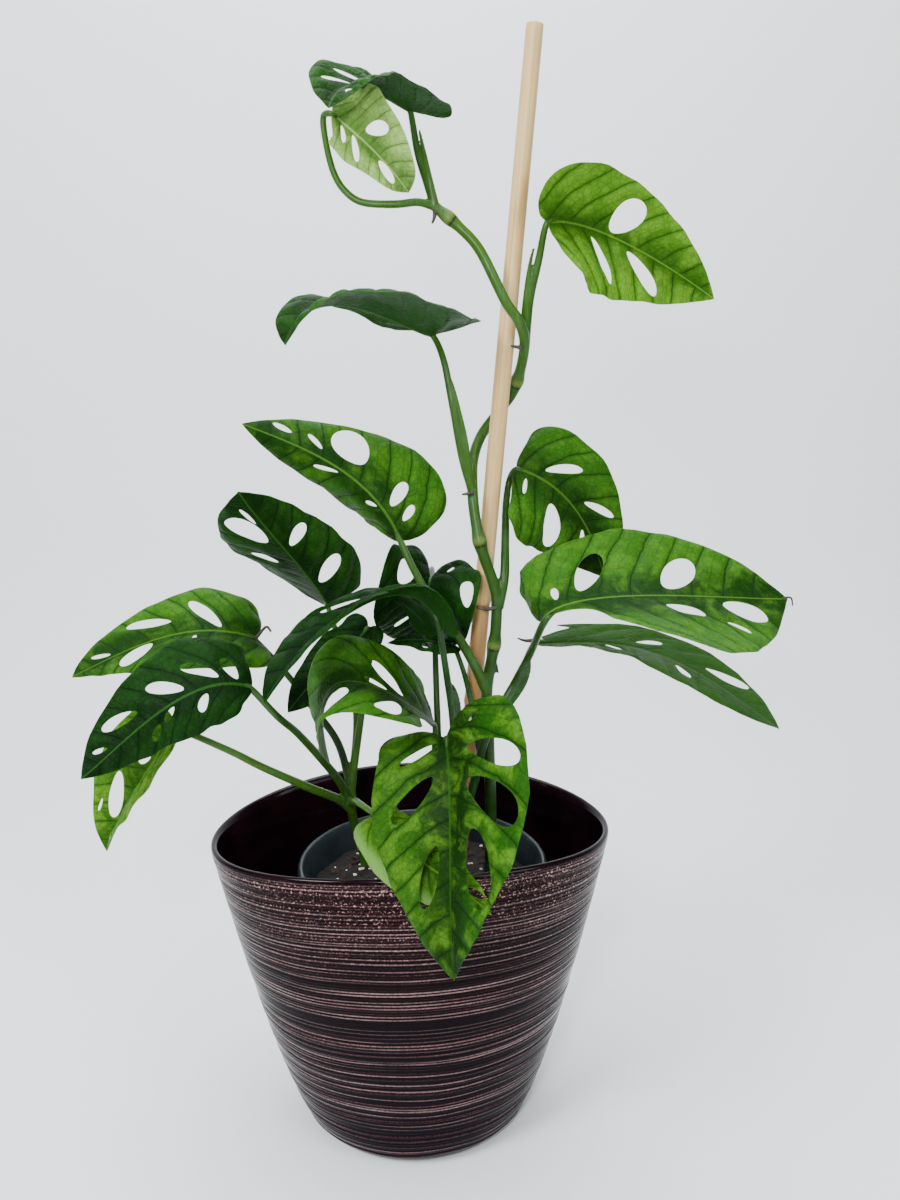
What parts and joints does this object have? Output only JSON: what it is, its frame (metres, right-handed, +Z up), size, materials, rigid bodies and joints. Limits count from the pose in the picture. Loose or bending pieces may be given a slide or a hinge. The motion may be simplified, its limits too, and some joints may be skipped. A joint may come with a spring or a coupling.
{
  "type": "potted swiss cheese vine",
  "caption": "Climbing vine with broad perforated leaves, tied by its own stem round a tall cane, in soil in a clear nursery pot inside an oval ridged planter.",
  "frame": {"origin": "on the flat underside of the planter's foot, on the table, close to the foot's middle", "axes": "+Z up along the cane; +X to the right of the oval planter's long side and -Y towards the viewer of the front"},
  "size_m": [0.3767, 0.2004, 0.5774],
  "materials": {
    "planter_glaze": "glossy dark aubergine-brown glazed ceramic with fine combed ridges",
    "clear_plastic": "thin translucent grey-blue nursery-pot plastic",
    "potting_mix": "near-black potting mix with white perlite specks",
    "split_cane": "pale split cane, warmer and barked towards its foot",
    "vine_green": "smooth green plant stem with paler joints",
    "leaf_green": "glossy mid green leaf, paler veins",
    "leaf_bright": "glossy bright green leaf, paler veins",
    "leaf_dark": "glossy dark green leaf, paler veins",
    "leaf_pale": "satin pale green young leaf"
  },
  "bodies": {
    "root": {"planter": "planter_glaze", "nursery_pot": "clear_plastic", "soil": "potting_mix", "cane": "split_cane", "vine_main": "vine_green", "vine_left": "vine_green", "vine_centre": "vine_green", "leaf_top_arch": "leaf_dark", "leaf_young_pale": "leaf_pale", "leaf_right_high": "leaf_bright", "leaf_left_high": "leaf_dark", "leaf_left_upper": "leaf_green", "leaf_left_middle": "leaf_dark", "leaf_far_left_back": "leaf_green", "leaf_far_left_front": "leaf_dark", "leaf_far_left_low": "leaf_bright", "leaf_centre_back": "leaf_dark", "leaf_centre_arch": "leaf_dark", "leaf_centre_low": "leaf_green", "leaf_front": "leaf_green", "leaf_over_rim": "leaf_bright", "leaf_right_middle": "leaf_green", "leaf_right_front": "leaf_bright", "leaf_right_low": "leaf_green", "leaf_shaded_twist": "leaf_dark", "leaf_shaded_strip": "leaf_dark"}
  },
  "joints": []
}
